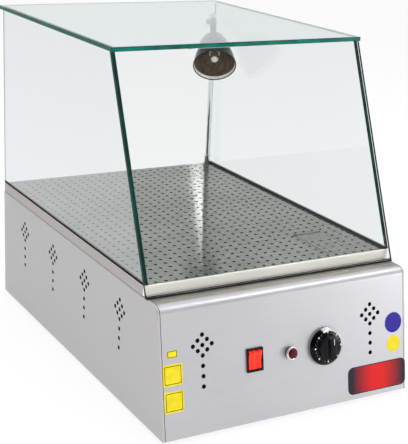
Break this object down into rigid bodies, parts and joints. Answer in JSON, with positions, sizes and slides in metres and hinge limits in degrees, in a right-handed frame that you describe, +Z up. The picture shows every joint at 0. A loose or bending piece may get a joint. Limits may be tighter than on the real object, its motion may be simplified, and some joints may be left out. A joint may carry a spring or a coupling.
{
  "type": "heated display case",
  "caption": "Counter-top heated display case: folded steel base with sloped control panel, perforated deck with water hatch, glass sides and roof, open rear, swivelling lamp.",
  "frame": {"origin": "on the table under the middle of the bounding box", "axes": "+Z up, -Y towards the customer and the control panel, +X to the right seen from there"},
  "size_m": [0.402, 0.6246, 0.493],
  "materials": {
    "panel_steel": "satin light grey",
    "side_steel": "satin",
    "deck_steel": "satin",
    "inner_steel": "mill finish",
    "chrome": "polished",
    "lamp_metal": "dark gloss",
    "rubber": "matt black",
    "seal_rubber": "matt black",
    "black_plastic": "semi-gloss black",
    "red_plastic": "gloss red",
    "dark_red_lens": "gloss dark red",
    "white_ceramic": "glazed white",
    "bulb_glass": "white glass",
    "pane_glass": "clear, slightly green",
    "brass": "satin",
    "grey_plastic": "matt",
    "terminal_plastic": "matt cream"
  },
  "bodies": {
    "case": {"front_panel": "panel_steel", "left_side_panel": "side_steel", "right_side_panel": "side_steel", "rear_panel": "side_steel", "bottom_plate": "side_steel", "perforated_deck": "deck_steel", "hatch_hinge": "deck_steel", "water_pan": "inner_steel", "pan_rail_left": "inner_steel", "pan_rail_right": "inner_steel", "heating_element": "inner_steel", "element_bracket_front": "inner_steel", "element_bracket_rear": "inner_steel", "hatch_hinge_pin": "inner_steel", "pilot_housing": "chrome", "lamp_pole": "chrome", "pole_collar": "chrome", "pole_cap": "chrome", "foot_front_left": "rubber", "foot_front_right": "rubber", "foot_rear_left": "rubber", "foot_rear_right": "rubber", "seal_left": "seal_rubber", "seal_right": "seal_rubber", "seal_front": "seal_rubber", "switch_housing": "black_plastic", "knob_bezel": "black_plastic", "cable_gland": "black_plastic", "gland_nut": "black_plastic", "pilot_lens": "dark_red_lens", "element_terminals": "white_ceramic", "glass_left": "pane_glass", "glass_right": "pane_glass", "glass_front": "pane_glass", "glass_top": "pane_glass", "pilot_nut": "brass", "pole_nut": "brass", "regulator_body": "grey_plastic", "terminal_block": "terminal_plastic"},
    "heat_knob": {"regulator_shaft": "inner_steel", "knob": "black_plastic", "knob_ring": "chrome"},
    "power_rocker": {"rocker": "red_plastic"},
    "hatch": {"hatch_lid": "deck_steel"},
    "lamp_swivel": {"swivel_block": "chrome"},
    "lamp_clamp": {"tilt_pin": "chrome", "thumb_knob": "chrome"},
    "lamp_head": {"lamp_neck": "lamp_metal", "lamp_shade": "lamp_metal", "lamp_socket": "white_ceramic", "lamp_bulb": "bulb_glass"}
  },
  "joints": [
    {"name": "heat_knob_turn", "type": "hinge", "parent": "case", "child": "heat_knob", "pos_m": [0.0578, -0.28632, 0.0925], "axis": [0, 0.9865, -0.164], "range_deg": [0, 270]},
    {"name": "power_rocker_tip", "type": "hinge", "parent": "case", "child": "power_rocker", "pos_m": [-0.0574, -0.28386, 0.09209], "axis": [1, 0, 0], "range_deg": [-14, 0]},
    {"name": "hatch_lift", "type": "hinge", "parent": "case", "child": "hatch", "pos_m": [0.126, -0.12451, 0.1985], "axis": [-1, 0, 0], "range_deg": [0, 100]},
    {"name": "lamp_swing", "type": "hinge", "parent": "case", "child": "lamp_swivel", "pos_m": [0.1855, 0.2908, 0.4556], "axis": [0, 0, 1], "range_deg": [-80, 2]},
    {"name": "lamp_tilt", "type": "hinge", "parent": "lamp_swivel", "child": "lamp_head", "pos_m": [0.17972, 0.27915, 0.4556], "axis": [0.8957, -0.4446, 0], "range_deg": [-20, 12]},
    {"name": "lamp_clamp_turn", "type": "hinge", "parent": "lamp_swivel", "child": "lamp_clamp", "pos_m": [0.17972, 0.27915, 0.4556], "axis": [-0.8957, 0.4446, 0], "range_deg": [0, 180]}
  ]
}
